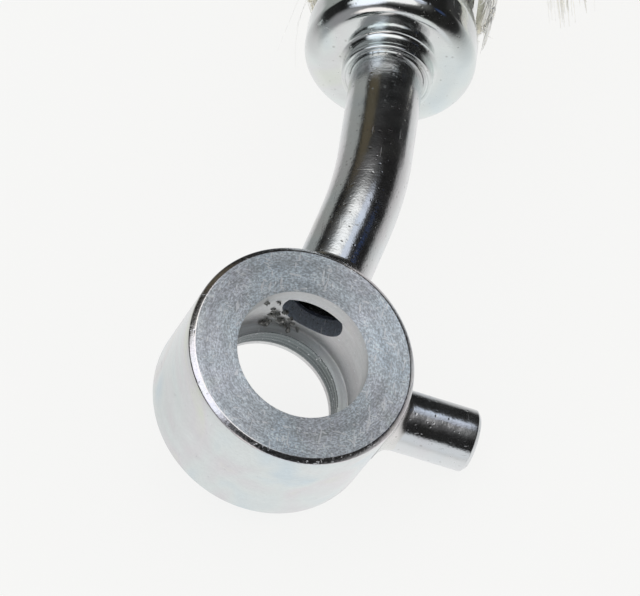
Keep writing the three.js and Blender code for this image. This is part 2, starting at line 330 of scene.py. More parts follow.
def pits_group():
    """Small pits and specks left by the plating bath."""
    group, given, out = new_group(
        "plating_pits",
        [("Position", "NodeSocketVector", None), ("Scale", "NodeSocketFloat", 1400.0),
         ("Share", "NodeSocketFloat", 0.3)],
        [("Mask", "NodeSocketFloat"), ("Height", "NodeSocketFloat")],
    )
    cells = add(group, "ShaderNodeTexVoronoi", {"feature": "F1"}, Vector=given["Position"],
                Scale=given["Scale"])
    chosen = add(group, "ShaderNodeSeparateColor", Color=cells.outputs["Color"])
    kept = math_node(group, "LESS_THAN", chosen.outputs["Red"], given["Share"])
    size = math_node(group, "MULTIPLY_ADD", chosen.outputs["Green"], 0.25, 0.12)
    spot = span(group, math_node(group, "DIVIDE", cells.outputs["Distance"], size), 1.0, 0.2)
    mask = math_node(group, "MULTIPLY", spot, kept)
    group.links.new(mask, out["Mask"])
    group.links.new(math_node(group, "MULTIPLY", mask, -1.0), out["Height"])
    return group


def grain_group():
    """Fine uneven grain of a metal surface, with a slower waviness under it."""
    group, given, out = new_group(
        "surface_grain",
        [("Position", "NodeSocketVector", None), ("Fine", "NodeSocketFloat", 3000.0),
         ("Slow", "NodeSocketFloat", 250.0)],
        [("Fine Height", "NodeSocketFloat"), ("Slow Height", "NodeSocketFloat")],
    )
    for size, detail in (("Fine", 4.0), ("Slow", 3.0)):
        noise = add(group, "ShaderNodeTexNoise", Vector=given["Position"], Scale=given[size],
                    Detail=detail)
        group.links.new(noise.outputs["Fac"], out[size + " Height"])
    return group


def tint_group():
    """Faint rainbow tint of zinc plating: patches of yellow, pink and blue over the bare colour."""
    group, given, out = new_group(
        "plating_tint",
        [("Position", "NodeSocketVector", None), ("Base", "NodeSocketColor", (0.8, 0.8, 0.8, 1)),
         ("Strength", "NodeSocketFloat", 0.4)],
        [("Color", "NodeSocketColor")],
    )
    patches = add(group, "ShaderNodeTexNoise", Vector=given["Position"], Scale=110.0, Detail=2.0,
                  Distortion=0.6)
    ramp = add(group, "ShaderNodeValToRGB", Fac=patches.outputs["Fac"])
    blue, yellow = ramp.color_ramp.elements
    blue.position = 0.3
    blue.color = (0.72, 0.86, 1.0, 1)
    yellow.position = 0.7
    yellow.color = (1.0, 0.95, 0.72, 1)
    for place, tint in ((0.45, (1, 1, 1, 1)), (0.58, (1.0, 0.84, 0.9, 1))):
        ramp.color_ramp.elements.new(place).color = tint
    tinted = blend_colours(group, given["Strength"], given["Base"], ramp.outputs["Color"],
                           "MULTIPLY")
    group.links.new(tinted, out["Color"])
    return group


def turning_group():
    """Concentric tool marks; the profile coordinate runs across them and the turn coordinate along them."""
    group, given, out = new_group(
        "turning_marks",
        [("Profile", "NodeSocketFloat", 0.0), ("Turn", "NodeSocketFloat", 0.0),
         ("Lines", "NodeSocketFloat", 900.0)],
        [("Height", "NodeSocketFloat"), ("Bands", "NodeSocketFloat"), ("Dashes", "NodeSocketFloat")],
    )
    across = math_node(group, "MULTIPLY", given["Profile"], given["Lines"])
    band_lines = math_node(group, "MULTIPLY", given["Lines"], 0.12)
    across_bands = math_node(group, "MULTIPLY", given["Profile"], band_lines)
    around = math_node(group, "MULTIPLY", given["Turn"], 3.0)
    around_dashes = math_node(group, "MULTIPLY", given["Turn"], 110.0)
    for output, x, y, look in (
        ("Height", across, around, {"Detail": 3.0, "Roughness": 0.65}),
        ("Bands", across_bands, around, {"Detail": 2.0}),
        ("Dashes", across, around_dashes, {"Detail": 2.0, "Roughness": 0.6}),
    ):
        place = add(group, "ShaderNodeCombineXYZ", X=x, Y=y)
        noise = add(group, "ShaderNodeTexNoise", Vector=place.outputs[0], Scale=1.0, **look)
        group.links.new(noise.outputs["Fac"], out[output])
    return group


def scratches_group():
    """Thin scratches in two stretched directions."""
    group, given, out = new_group(
        "handling_scratches",
        [("Position", "NodeSocketVector", None), ("Share", "NodeSocketFloat", 0.1)],
        [("Mask", "NodeSocketFloat")],
    )
    masks = []
    for turn, stretch in (((0.3, 0.2, 0.5), (180, 2600, 2600)), ((1.1, -0.4, 1.9), (2400, 160, 2400))):
        turned = add(group, "ShaderNodeMapping", {"vector_type": "POINT"}, Vector=given["Position"],
                     Rotation=turn, Scale=stretch)
        streaks = add(group, "ShaderNodeTexNoise", Vector=turned.outputs[0], Scale=1.0, Detail=1.0)
        level = math_node(group, "SUBTRACT", 0.78, given["Share"])
        top = math_node(group, "ADD", level, 0.05)
        masks.append(span(group, streaks.outputs["Fac"], level, top))
    group.links.new(math_node(group, "MAXIMUM", masks[0], masks[1]), out["Mask"])
    return group


def braid_group():
    """Plain braid of flat yarn bands; one cell is one crossing."""
    group, given, out = new_group(
        "braid",
        [("Around", "NodeSocketFloat", 0.0), ("Along", "NodeSocketFloat", 0.0)],
        [("Height", "NodeSocketFloat"), ("Filaments", "NodeSocketFloat"), ("Edge", "NodeSocketFloat")],
    )
    first = math_node(group, "ADD", given["Around"], given["Along"])
    second = math_node(group, "SUBTRACT", given["Around"], given["Along"])
    cells = math_node(group, "ADD", math_node(group, "FLOOR", first), math_node(group, "FLOOR", second))
    over = math_node(group, "MODULO", math_node(group, "ABSOLUTE", cells), 2.0)
    part_one = math_node(group, "FRACT", first)
    part_two = math_node(group, "FRACT", second)

    def choose(a, b):
        made = add(group, "ShaderNodeMix", {"data_type": "FLOAT"}, i0=over, i2=a, i3=b)
        return made.outputs[0]

    across = choose(part_one, part_two)
    along = choose(part_two, part_one)

    def hump(value):
        return math_node(group, "SINE", math_node(group, "MULTIPLY", value, math.pi))

    width = math_node(group, "POWER", hump(across), 0.5)
    length = math_node(group, "POWER", hump(along), 0.6)
    height = math_node(group, "MULTIPLY", width, length)
    lines = math_node(group, "SINE", math_node(group, "MULTIPLY", across, 6 * 2 * math.pi))
    group.links.new(height, out["Height"])
    group.links.new(lines, out["Filaments"])
    # The edge mask is low in the crevices between the bands, where the sleeve's colour takes its painted
    # shade
    group.links.new(span(group, height, 0.15, 0.6), out["Edge"])
    return group


PITS = pits_group()
GRAIN = grain_group()
TINT = tint_group()
TURNING = turning_group()
SCRATCHES = scratches_group()
BRAID = braid_group()


# Materials

def new_material(name):
    material = bpy.data.materials.new(name)
    material.use_nodes = True
    tree = material.node_tree
    shader = tree.nodes["Principled BSDF"]
    position = tree.nodes.new("ShaderNodeTexCoord").outputs["Object"]
    return material, tree, shader, position


def plated_steel(name, base, roughness, tint, pit_share, pit_depth, grain_depth, wave_depth=0.0):
    """Bright zinc-plated steel with pits, grain and a faint rainbow tint."""
    material, tree, shader, position = new_material(name)
    colour = place_group(tree, TINT, Position=position, Base=base, Strength=tint).outputs["Color"]
    pits = place_group(tree, PITS, Position=position, Scale=1300.0, Share=pit_share)
    grain = place_group(tree, GRAIN, Position=position, Fine=3500.0, Slow=420.0)
    scratches = place_group(tree, SCRATCHES, Position=position, Share=0.06)
    darker = math_node(tree, "MULTIPLY", pits.outputs["Mask"], 0.35)
    shaded = blend_colours(tree, darker, colour, (0.25, 0.23, 0.2, 1))
    rough = span(tree, grain.outputs["Slow Height"], 0.3, 0.7, roughness * 0.75, roughness * 1.35)
    worn = math_node(tree, "MULTIPLY", scratches.outputs["Mask"], 0.2)
    rough = math_node(tree, "ADD", rough, worn)
    normal = relief(
        tree,
        (grain.outputs["Slow Height"], wave_depth, 1.0),
        (grain.outputs["Fine Height"], grain_depth, 1.0),
        (pits.outputs["Height"], pit_depth, 1.0),
        (scratches.outputs["Mask"], -0.004, 1.0),
    )
    feed(shader, Base_Color=shaded, Metallic=1.0, Roughness=rough, Normal=normal)
    return material


def turned_steel(
    name, base, roughness, line_depth, grain_depth, lines=350.0, tint=0.15, spread=0.08, shade=0.2,
    mottle=0.1, scratch_share=0.08, across_lines=0.0, metallic=1.0,
):
    """Turned steel: tool marks that smear light across them, a mottled sparkle, and scratches with a painted
    bright glint.
    """
    material, tree, shader, position = new_material(name)
    along, around = profile(tree)
    marks = place_group(tree, TURNING, Profile=along, Turn=around, Lines=lines)
    grain = place_group(tree, GRAIN, Position=position, Fine=3600.0, Slow=420.0)
    scratches = place_group(tree, SCRATCHES, Position=position, Share=scratch_share)
    colour = place_group(tree, TINT, Position=position, Base=base, Strength=tint).outputs["Color"]
    bands = span(tree, marks.outputs["Bands"], 0.3, 0.7, 1 - shade, 1.0)
    mixed = math_node(tree, "ADD", grain.outputs["Fine Height"], marks.outputs["Dashes"])
    specks = span(tree, mixed, 0.8, 1.24, 1 - mottle, 1 + 0.6 * mottle)
    clouds = span(tree, grain.outputs["Slow Height"], 0.35, 0.62, 1 - 0.35 * mottle, 1.0)
    light = math_node(tree, "MULTIPLY", bands, math_node(tree, "MULTIPLY", specks, clouds))
    shaded = blend_colours(tree, 1.0, colour, grey(tree, light), "MULTIPLY")
    # Painted highlight: the scratches are real wear marks, lightened towards white as a painted glint
    bright = math_node(tree, "MULTIPLY", scratches.outputs["Mask"], 0.7)
    shaded = blend_colours(tree, bright, shaded, (0.95, 0.97, 1.0, 1))
    rough = span(tree, grain.outputs["Fine Height"], 0.3, 0.7, roughness - spread, roughness + spread)
    if across_lines:
        way = add(tree, "ShaderNodeTangent", {"direction_type": "UV_MAP", "uv_map": "profile"})
        feed(shader, Anisotropic=across_lines, Tangent=way.outputs[0])
    normal = relief(
        tree,
        (marks.outputs["Height"], line_depth, 1.0),
        (grain.outputs["Fine Height"], grain_depth, 1.0),
        (scratches.outputs["Mask"], -0.03, 1.0),
    )
    feed(shader, Base_Color=shaded, Metallic=metallic, Roughness=rough, Normal=normal)
    return material


def black_rubber():
    """Rubber cover with the faint cloth print of its wrapping."""
    material, tree, shader, position = new_material("hose_rubber")
    grain = place_group(tree, GRAIN, Position=position, Fine=2200.0, Slow=200.0)
    shade = span(tree, grain.outputs["Slow Height"], 0.3, 0.7, 0.018, 0.034)
    normal = relief(tree, (grain.outputs["Fine Height"], 0.05, 1.0))
    feed(shader, Base_Color=grey(tree, shade), Roughness=0.75, Normal=normal)
    return material


def fibre_colour(tree, position, share):
    """Cream glass fibre with beige and olive patches, and painted shade: a darker greyish cream in the
    braid's crevices, where the share is low.
    """
    patches = add(tree, "ShaderNodeTexNoise", Vector=position, Scale=55.0, Detail=6.0)
    stain = span(tree, patches.outputs["Fac"], 0.4, 0.72)
    base = blend_colours(tree, stain, (0.92, 0.90, 0.82, 1), (0.83, 0.795, 0.68, 1))
    return blend_colours(tree, share, (0.84, 0.81, 0.71, 1), base)


def woven_fibre():
    """Braided glass fibre sleeve."""
    material, tree, shader, position = new_material("woven_glass_fibre")
    along, around = profile(tree)
    weave = place_group(tree, BRAID, Around=around, Along=along)
    # Painted shade: the edge mask darkens the cream in the crevices of the braid
    colour = fibre_colour(tree, position, weave.outputs["Edge"])
    normal = relief(tree, (weave.outputs["Height"], 0.25, 0.8), (weave.outputs["Filaments"], 0.03, 0.7))
    feed(shader, Base_Color=colour, Roughness=0.62, Sheen_Weight=0.25, Normal=normal)
    return material


def loose_fibre():
    """Loose glass filaments, each a little different from the next."""
    material, tree, shader, position = new_material("loose_glass_fibre")
    _, tone = profile(tree)
    colour = blend_colours(tree, span(tree, tone, 0.35, 1.0), (0.97, 0.96, 0.92, 1), (0.90, 0.87, 0.77, 1))
    colour = blend_colours(tree, span(tree, tone, 1.2, 1.8), colour, (0.34, 0.32, 0.3, 1))
    grain = place_group(tree, GRAIN, Position=position, Fine=3000.0, Slow=500.0)
    share = span(tree, grain.outputs["Slow Height"], 0.3, 0.7, 0.0, 0.35)
    colour = blend_colours(tree, share, colour, (0.93, 0.91, 0.84, 1))
    feed(
        shader, Base_Color=colour, Roughness=0.5, Sheen_Weight=0.2, Subsurface_Weight=0.8,
        Subsurface_Radius=(1.0, 0.95, 0.85), Subsurface_Scale=1.2 * MM,
    )
    return material


TUBE_STEEL = plated_steel(
    "tube_zinc_plate", (0.80, 0.815, 0.815, 1), roughness=0.14, tint=0.2,
    pit_share=0.6, pit_depth=0.017, grain_depth=0.015, wave_depth=0.045,
)
FERRULE_STEEL = plated_steel(
    "ferrule_zinc_plate", (0.82, 0.865, 0.85, 1), roughness=0.1, tint=0.25,
    pit_share=0.3, pit_depth=0.012, grain_depth=0.004, wave_depth=0.028,
)
PIN_STEEL = plated_steel(
    "pin_zinc_plate", (0.79, 0.81, 0.82, 1), roughness=0.15, tint=0.2,
    pit_share=0.6, pit_depth=0.02, grain_depth=0.01, wave_depth=0.06,
)
HIDDEN_STEEL = plated_steel(
    "insert_zinc_plate", (0.74, 0.75, 0.75, 1), roughness=0.25, tint=0.2,
    pit_share=0.1, pit_depth=0.005, grain_depth=0.002,
)
BRAZE = plated_steel(
    "plated_braze", (0.80, 0.81, 0.79, 1), roughness=0.22, tint=0.25,
    pit_share=0.3, pit_depth=0.02, grain_depth=0.006, wave_depth=0.03,
)
BURR_STEEL = plated_steel(
    "torn_steel", (0.42, 0.42, 0.40, 1), roughness=0.35, tint=0.2,
    pit_share=0.8, pit_depth=0.08, grain_depth=0.02,
)
FACE_STEEL = turned_steel(
    "turned_face", (0.86, 0.935, 1.0, 1), roughness=0.54, line_depth=0.014, grain_depth=0.05, lines=620.0,
    tint=0.25, mottle=0.36, scratch_share=0.13, across_lines=0.9, shade=0.24, metallic=0.7,
)
RIM_STEEL = turned_steel(
    "turned_rim", (0.95, 0.95, 0.96, 1), roughness=0.16, line_depth=0.004, grain_depth=0.012,
    tint=0.3, mottle=0.1, shade=0.05,
)
WALL_STEEL = turned_steel(
    "turned_wall", (0.775, 0.82, 0.815, 1), roughness=0.17, line_depth=0.0006, grain_depth=0.001,
    lines=300.0, tint=0.4, spread=0.04, shade=0.03, mottle=0.03, scratch_share=0.02,
)
BORE_STEEL = turned_steel(
    "turned_bore", (0.78, 0.79, 0.79, 1), roughness=0.42, line_depth=0.01, grain_depth=0.004,
    lines=420.0, shade=0.12, mottle=0.06, metallic=0.8,
)
# Painted shade: the land inside the bore gets a dark copy of the turned steel
LAND_STEEL = turned_steel(
    "turned_land_painted_shade", (0.19, 0.22, 0.225, 1), roughness=0.3, line_depth=0.02, grain_depth=0.004,
    lines=900.0, shade=0.45, mottle=0.06,
)
# Painted light: the shelf in the groove gets a lighter, bluer copy of the turned steel
SHELF_STEEL = turned_steel(
    "turned_shelf_painted_light", (0.93, 0.98, 1.0, 1), roughness=0.55, line_depth=0.03, grain_depth=0.005,
    lines=1100.0, shade=0.35, mottle=0.05, across_lines=0.85, metallic=0.76,
)
# Painted shade with a painted bluish reflection: the port's wall gets a darker, bluer copy of the steel
PORT_STEEL = turned_steel(
    "drilled_port_painted_light", (0.50, 0.56, 0.65, 1), roughness=0.35, line_depth=0.004, grain_depth=0.01,
    shade=0.1, mottle=0.2, metallic=0.6,
)
RUBBER = black_rubber()
WOVEN = woven_fibre()
LOOSE = loose_fibre()


# Mesh helpers

def face_outwards(mesh):
    """Turns every face of a closed mesh outwards."""
    shell = bmesh.new()
    shell.from_mesh(mesh)
    bmesh.ops.recalc_face_normals(shell, faces=shell.faces)
    shell.to_mesh(mesh)
    shell.free()


def finish_mesh(name, points, faces, corner_uv, materials, face_materials=None, sharp=35):
    """A smooth piece in metres from points in metres, with its profile UV."""
    mesh = bpy.data.meshes.new(name)
    mesh.from_pydata([tuple(p) for p in points], [], faces)
    mesh.uv_layers.new(name="profile")
    mesh.uv_layers["profile"].data.foreach_set("uv", np.asarray(corner_uv, np.float32).ravel())
    for material in materials:
        mesh.materials.append(material)
    if face_materials is not None:
        mesh.polygons.foreach_set("material_index", face_materials)
    mesh.polygons.foreach_set("use_smooth", [True] * len(mesh.polygons))
    mesh.validate()
    face_outwards(mesh)
    mesh.set_sharp_from_angle(angle=math.radians(sharp))
    mesh.update()
    return new_object(name, mesh)


def wrap_rings(
    name, rings, along, around, materials, closed=True, caps=False, ring_materials=None, sharp=35,
):
    """Quads between rings of points; a closed stack also joins its last ring to its first."""
    rings = np.asarray(rings, float)
    count, columns = rings.shape[:2]
    faces, uv, chosen = [], [], []
    for row in range(count if closed else count - 1):
        this = row * columns
        after = (row + 1) % count * columns
        for column in range(columns):
            beside = (column + 1) % columns
            faces.append((this + column, this + beside, after + beside, after + column))
            uv += [(along[row], around[column]), (along[row], around[column + 1]),
                   (along[row + 1], around[column + 1]), (along[row + 1], around[column])]
            chosen.append(ring_materials[row] if ring_materials else 0)
    if caps:
        for row, order in ((0, range(columns - 1, -1, -1)), (count - 1, range(columns))):
            faces.append(tuple(row * columns + column for column in order))
            uv += [(along[row], around[column]) for column in order]
            chosen.append(0)
    return finish_mesh(name, rings.reshape(-1, 3), faces, uv, materials, chosen, sharp)


def rounded(corners, closed=True, arc_step=18):
    """Points of an outline whose corners, each (radius, height, rounding), are rounded."""
    points = []
    count = len(corners)
    for i, (r, h, rounding) in enumerate(corners):
        here = np.array([r, h], float)
        if rounding == 0 or (not closed and i in (0, count - 1)):
            points.append(here)
            continue
        before = np.array(corners[i - 1][:2], float) - here
        after = np.array(corners[(i + 1) % count][:2], float) - here
        reach = min(np.linalg.norm(before), np.linalg.norm(after)) * 0.45
        before /= np.linalg.norm(before)
        after /= np.linalg.norm(after)
        inside = math.acos(max(-1, min(1, float(before @ after))))
        setback = min(rounding / math.tan(inside / 2), reach)
        radius = setback * math.tan(inside / 2)
        centre = here + (before + after) / np.linalg.norm(before + after) * (radius / math.sin(inside / 2))
        start, end = here + before * setback, here + after * setback
        sweep = math.pi - inside
        steps = max(2, int(math.degrees(sweep) / arc_step) + 1)
        one, two = (start - centre) / radius, (end - centre) / radius
        for step in range(steps + 1):
            t = step / steps
            way = one
            if math.sin(sweep) > 1e-6:
                way = (math.sin((1 - t) * sweep) * one + math.sin(t * sweep) * two) / math.sin(sweep)
            points.append(centre + way * radius)
    return np.array(points)


def refine(outline, longest, closed=True):
    """The same outline with its long edges divided."""
    points = []
    count = len(outline)
    for i in range(count if closed else count - 1):
        here, after = outline[i], outline[(i + 1) % count]
        pieces = max(1, math.ceil(np.linalg.norm(after - here) / longest))
        points += [here + (after - here) * k / pieces for k in range(pieces)]
    if not closed:
        points.append(outline[-1])
    return np.array(points)


def put(points, matrix):
    """Points in a local frame in millimetres, placed in the part's frame in metres."""
    points = np.asarray(points, float)
    flat = points.reshape(-1, 3)
    turned = flat @ np.array(matrix.to_3x3()).T + np.array(matrix.translation)
    return turned.reshape(points.shape) * MM


def lathe(
    name, outline, matrix, materials, columns, closed=True, caps=False, ring_materials=None, squeeze=None,
):
    """An outline of (radius, height) turned about the local Y axis."""
    turns = np.linspace(0, 2 * math.pi, columns, endpoint=False)
    rings = []
    for r, h in outline:
        radius = squeeze(r, h, turns) if squeeze else np.full(columns, r)
        rings.append(np.stack([radius * np.sin(turns), np.full(columns, h), radius * np.cos(turns)], 1))
    steps = np.linalg.norm(np.diff(np.vstack([outline, outline[:1]]), axis=0), axis=1)
    along = np.concatenate([[0], np.cumsum(steps)]) / 100
    around = np.linspace(0, 1, columns + 1)
    return wrap_rings(name, put(rings, matrix), along, around, materials, closed, caps, ring_materials)


def turn(axis, degrees):
    return Matrix.Rotation(math.radians(degrees), 4, axis)


def move(x, y, z):
    return Matrix.Translation((x, y, z))


def cut_away(piece, *cutters):
    """Takes the cutters out of a piece, with the result kept as its mesh."""
    for cutter in cutters:
        step = piece.modifiers.new("cut", "BOOLEAN")
        step.operation = "DIFFERENCE"
        step.solver = "EXACT"
        step.object = cutter
    bpy.context.view_layer.update()
    graph = bpy.context.evaluated_depsgraph_get()
    mesh = bpy.data.meshes.new_from_object(piece.evaluated_get(graph))
    piece.modifiers.clear()
    piece.data = mesh
    mesh.set_sharp_from_angle(angle=math.radians(30))
    for cutter in cutters:
        bpy.data.objects.remove(cutter)
    return piece


# Places of the two ends

class End:
    """Frames of one steel end, in millimetres; front is the ferrule's front face, with +Y into the hose."""

    def __init__(self, name, sizes, cut_end):
        self.name = name
        self.sizes = sizes
        self.front = move(*[c / MM for c in cut_end]) @ turn("X", sizes["slope"]) @ move(0, -HOSE_SEAT, 0)
        self.bent = self.front @ turn("Y", sizes["turn"])
        bend = math.radians(sizes["bend"])
        reach = sizes["to_eye"]
        self.eye = (
            self.bent
            @ move(0, -sizes["to_bend"] - reach * math.cos(bend), -reach * math.sin(bend))
            @ turn("X", sizes["bend"])
            @ turn("Y", sizes["eye_turn"])
            @ move(0, 0, -TUBE_ABOVE_MIDDLE)
        )
        self.tube_mount = self.eye @ move(0, 0, TUBE_ABOVE_MIDDLE)
        self.pin_mount = self.eye @ move(0, 0, -PIN_BELOW_MIDDLE) @ turn("Z", -PIN_ANGLE)


NEAR_END = End("near", NEAR, HOSE_ROUTE[0])
FAR_END = End("far", FAR, HOSE_ROUTE[-1])


# Steel pieces

def make_eye(end):
    """The turned banjo eye, with its port and the seats of tube and pin cut into it."""
    top = EYE_HEIGHT / 2
    groove_top = top - GROOVE_FROM_TOP
    groove = BORE_RADIUS + GROOVE_DEPTH
    bottom = groove_top - GROOVE_WIDTH
    grooves = [
        (BORE_RADIUS + depth, bottom - LAND_PITCH * (step + 0.5 * half), 0.04)
        for step in range(LAND_GROOVES) for half, depth in ((1, 0), (2, LAND_DEPTH))
    ]
    ripples = [(radius, top - depth, 0) for radius, depth in FACE_RIPPLES]
    corners = [
        (BORE_RADIUS, -top + LEAD_IN[1], 0.1),
        (BORE_RADIUS + LEAD_IN[0], -top, 0.1),
        (EYE_RADIUS - FOOT_CHAMFER, -top, 0.12),
        (EYE_RADIUS, -top + FOOT_CHAMFER, 0.2),
        (EYE_RADIUS, top - RIM_CHAMFER[1], 0.3),
        (EYE_RADIUS - RIM_CHAMFER[0], top, 0.25),
        *ripples,
        (BORE_RADIUS + FACE_CHAMFER[0], top, 0.06),
        (BORE_RADIUS, top - FACE_CHAMFER[1], 0.05),
        (BORE_RADIUS, groove_top, 0.12),
        (groove, groove_top, 0.3),
        (groove, bottom, 0.2),
        (BORE_RADIUS, bottom, 0.12),
        *grooves,
    ]
    outline = refine(rounded(corners, arc_step=22), 1.2)

    def finish_at(r, h):
        """The finish of a stretch of the outline, by the radius and height of its middle."""
        if r > EYE_RADIUS - RIM_CHAMFER[0] - 0.05 and h > -top + 0.02:
            return RIM if h > top - RIM_CHAMFER[1] - 0.05 else WALL
        if r > BORE_RADIUS + 0.03 and abs(h) > top - 0.1 or h > top - FACE_CHAMFER[1]:
            return FACE
        if abs(h - bottom) < 0.02 and r < groove - 0.1:
            return SHELF
        return LAND if r < BORE_RADIUS + 0.1 and bottom - LAND_PITCH * LAND_GROOVES < h < bottom else BORE

    chosen = [finish_at(*(outline[i] + outline[(i + 1) % len(outline)]) / 2) for i in range(len(outline))]
    steel = [FACE_STEEL, WALL_STEEL, BORE_STEEL, PORT_STEEL, LAND_STEEL, RIM_STEEL, SHELF_STEEL]
    frame_of_eye = end.eye @ turn("X", 90)
    piece = lathe(end.name + "_eye", outline, frame_of_eye, steel, EYE_COLUMNS, ring_materials=chosen)

    def cutter(radius, low, high, mount):
        side = np.array([(radius, low), (radius, high)])
        made = lathe("cutter", side, mount, steel, CUTTER_COLUMNS, closed=False, caps=True)
        made.data.polygons.foreach_set("material_index", [PORT] * len(made.data.polygons))
        return made

    cutters = [
        cutter(TUBE_RADIUS + SEAT_GAP, TUBE_SEAT, 2 * EYE_RADIUS, end.tube_mount),
        cutter(PORT_RADIUS, BORE_RADIUS / 2, TUBE_SEAT + CLEARANCE, end.tube_mount),
    ]
    if end.sizes["pin"]:
        cutters.append(cutter(PIN_RADIUS + SEAT_GAP, PIN_SEAT, 2 * EYE_RADIUS, end.pin_mount))
    return cut_away(piece, *cutters)


def make_fillet(end, title, radius, mount, seed):
    """A braze fillet that runs from the round wall of the eye up a bar, a little uneven all round."""
    chance = random.Random(seed)
    waves = [(chance.uniform(0.03, 0.09), k, chance.uniform(0, 2 * math.pi)) for k in (2, 3, 5, 8)]
    turns = np.linspace(0, 2 * math.pi, BAR_COLUMNS, endpoint=False)
    uneven = 1 + sum(size * np.sin(k * turns + phase) for size, k, phase in waves)
    inner = radius + 0.03
    wall = EYE_RADIUS + 0.02
    rings = []

    def ring(distance, above):
        x, z = distance * np.sin(turns), distance * np.cos(turns)
        return np.stack([x, np.sqrt(wall**2 - x**2) + above, z], 1)

    steps = 12
    for step in range(steps + 1):
        angle = step / steps * math.pi / 2
        distance = inner + 0.04 + BRAZE_WIDTH * uneven * (1 - math.sin(angle))
        rings.append(ring(distance, 0.02 + BRAZE_RISE * uneven * (1 - math.cos(angle))))
    rings.append(ring(inner + 0 * turns, BRAZE_RISE * uneven))
    rings.append(ring(inner + 0 * turns, 0 * turns))
    along = np.arange(len(rings) + 1) * 0.003
    around = np.linspace(0, 1, BAR_COLUMNS + 1)
    return wrap_rings(f"{end.name}_{title}", put(rings, mount), along, around, [BRAZE])


def make_pin(end):
    """The round pin that keeps the eye from turning."""
    root = PIN_SEAT + CLEARANCE
    corners = [(1e-3, root, 0), (PIN_RADIUS, root, 0), (PIN_RADIUS, PIN_REACH - PIN_CHAMFER, 0.25),
               (PIN_RADIUS - PIN_CHAMFER, PIN_REACH, 0.2), (1e-3, PIN_REACH, 0)]
    outline = refine(rounded(corners, closed=False), 1.0, closed=False)
    return lathe(end.name + "_pin", outline, end.pin_mount, [PIN_STEEL], BAR_COLUMNS, closed=False, caps=True)


def bent_line(start, corner, bend, after, step):
    """Points and directions of a line that runs towards -Y, bends in the YZ plane and runs straight on."""
    setback = TUBE_BEND_RADIUS * math.tan(bend / 2)
    before = start + corner - setback
    arc = TUBE_BEND_RADIUS * bend
    total = before + arc + after - setback
    points, ways = [], []
    for travelled in np.linspace(0, total, math.ceil(total / step) + 1):
        swung = min(max(travelled - before, 0) / TUBE_BEND_RADIUS, bend)
        straight = min(travelled, before)
        past = max(travelled - before - arc, 0)
        y = start - straight - TUBE_BEND_RADIUS * math.sin(swung) - past * math.cos(bend)
        z = -TUBE_BEND_RADIUS * (1 - math.cos(swung)) - past * math.sin(bend)
        points.append((0, y, z))
        ways.append((0, -math.cos(swung), -math.sin(swung)))
    return np.array(points), np.array(ways)


def make_tube(end):
    """The steel tube from the insert to the eye, with one bend and an open bore."""
    start = FRONT_WALL + 2 * CLEARANCE + TUBE_IN_INSERT
    bend = math.radians(end.sizes["bend"])
    after = end.sizes["to_eye"] - TUBE_SEAT - CLEARANCE
    points, ways = bent_line(start, end.sizes["to_bend"], bend, after, 0.8)
    turns = np.linspace(0, 2 * math.pi, BAR_COLUMNS, endpoint=False)
    side = np.array([1.0, 0, 0])

    def ring(i, radius):
        up = np.cross(side, ways[i])
        return points[i] + radius * (np.sin(turns)[:, None] * side + np.cos(turns)[:, None] * up)

    last = len(points) - 1
    inner = TUBE_RADIUS - TUBE_WALL
    rings = [ring(i, TUBE_RADIUS) for i in range(last)]
    rings += [ring(last, TUBE_RADIUS - TUBE_RIM), ring(last, inner + TUBE_RIM)]
    rings += [ring(i, inner) for i in range(last - 1, -1, -1)]
    along = np.arange(len(rings) + 1) * 0.008
    around = np.linspace(0, 1, BAR_COLUMNS + 1)
    return wrap_rings(end.name + "_bent_tube", put(rings, end.bent), along, around, [TUBE_STEEL])


def crimp_squeeze(r, h, turns):
    """The outer wall of the ferrule's crimped stretch is pressed flat by the crimping jaws."""
    start = HEAD_LENGTH + CRIMP_SLOPE
    end = FERRULE_LENGTH - TAIL_LENGTH
    if r < INNER_RADIUS + 0.2 or h < start - 1 or h > end + 1:
        return np.full(len(turns), r)
    pitch = 2 * math.pi / CRIMP_FLATS
    local = (turns + pitch / 2) % pitch - pitch / 2
    flat = (FERRULE_RADIUS - CRIMP_DEPTH - CRIMP_FLAT_DEPTH) / np.cos(local)
    pressed = np.minimum(r, flat)
    share = min(1, h - start + 1, end + 1 - h)
    return r + (pressed - r) * share


def make_ferrule(end):
    """The steel cup with its neck, rolled shoulder, crimped stretch and tail."""
    neck = NECK_BORE + NECK_WALL
    crimp = FERRULE_RADIUS - CRIMP_DEPTH
    tail = FERRULE_RADIUS - TAIL_DEPTH
    crimp_start = HEAD_LENGTH + CRIMP_SLOPE
    tail_start = FERRULE_LENGTH - TAIL_LENGTH
    corners = [
        (NECK_BORE, -NECK_LENGTH + 0.1, 0.05),
        (NECK_BORE, FRONT_WALL, 0),
        (INNER_RADIUS, FRONT_WALL, 1.6),
        (INNER_RADIUS, FERRULE_LENGTH, 0.15),
        (tail, FERRULE_LENGTH, 0.3),
        (tail, tail_start + TAIL_SLOPE, CRIMP_ROUNDING),
        (crimp, tail_start, CRIMP_ROUNDING),
        (crimp, crimp_start, HEAD_ROUNDING),
        (FERRULE_RADIUS, HEAD_LENGTH, HEAD_ROUNDING),
        (FERRULE_RADIUS, 0, SHOULDER_RADIUS),
        (neck - NECK_STEP, 0, NECK_FILLET),
        (neck - NECK_STEP, -NECK_LENGTH + 0.95, 0.15),
        (neck, -NECK_LENGTH + 0.7, 0.2),
        (neck, -NECK_LENGTH, 0.3),
        (neck - 0.5, -NECK_LENGTH, 0.12),
        (neck - 0.58, -NECK_LENGTH + 0.09, 0.05),
        (neck - 0.72, -NECK_LENGTH, 0.12),
    ]
    outline = refine(rounded(corners, arc_step=6), 0.7)
    name = end.name + "_crimped_ferrule"
    return lathe(name, outline, end.front, [FERRULE_STEEL], FERRULE_COLUMNS, squeeze=crimp_squeeze)


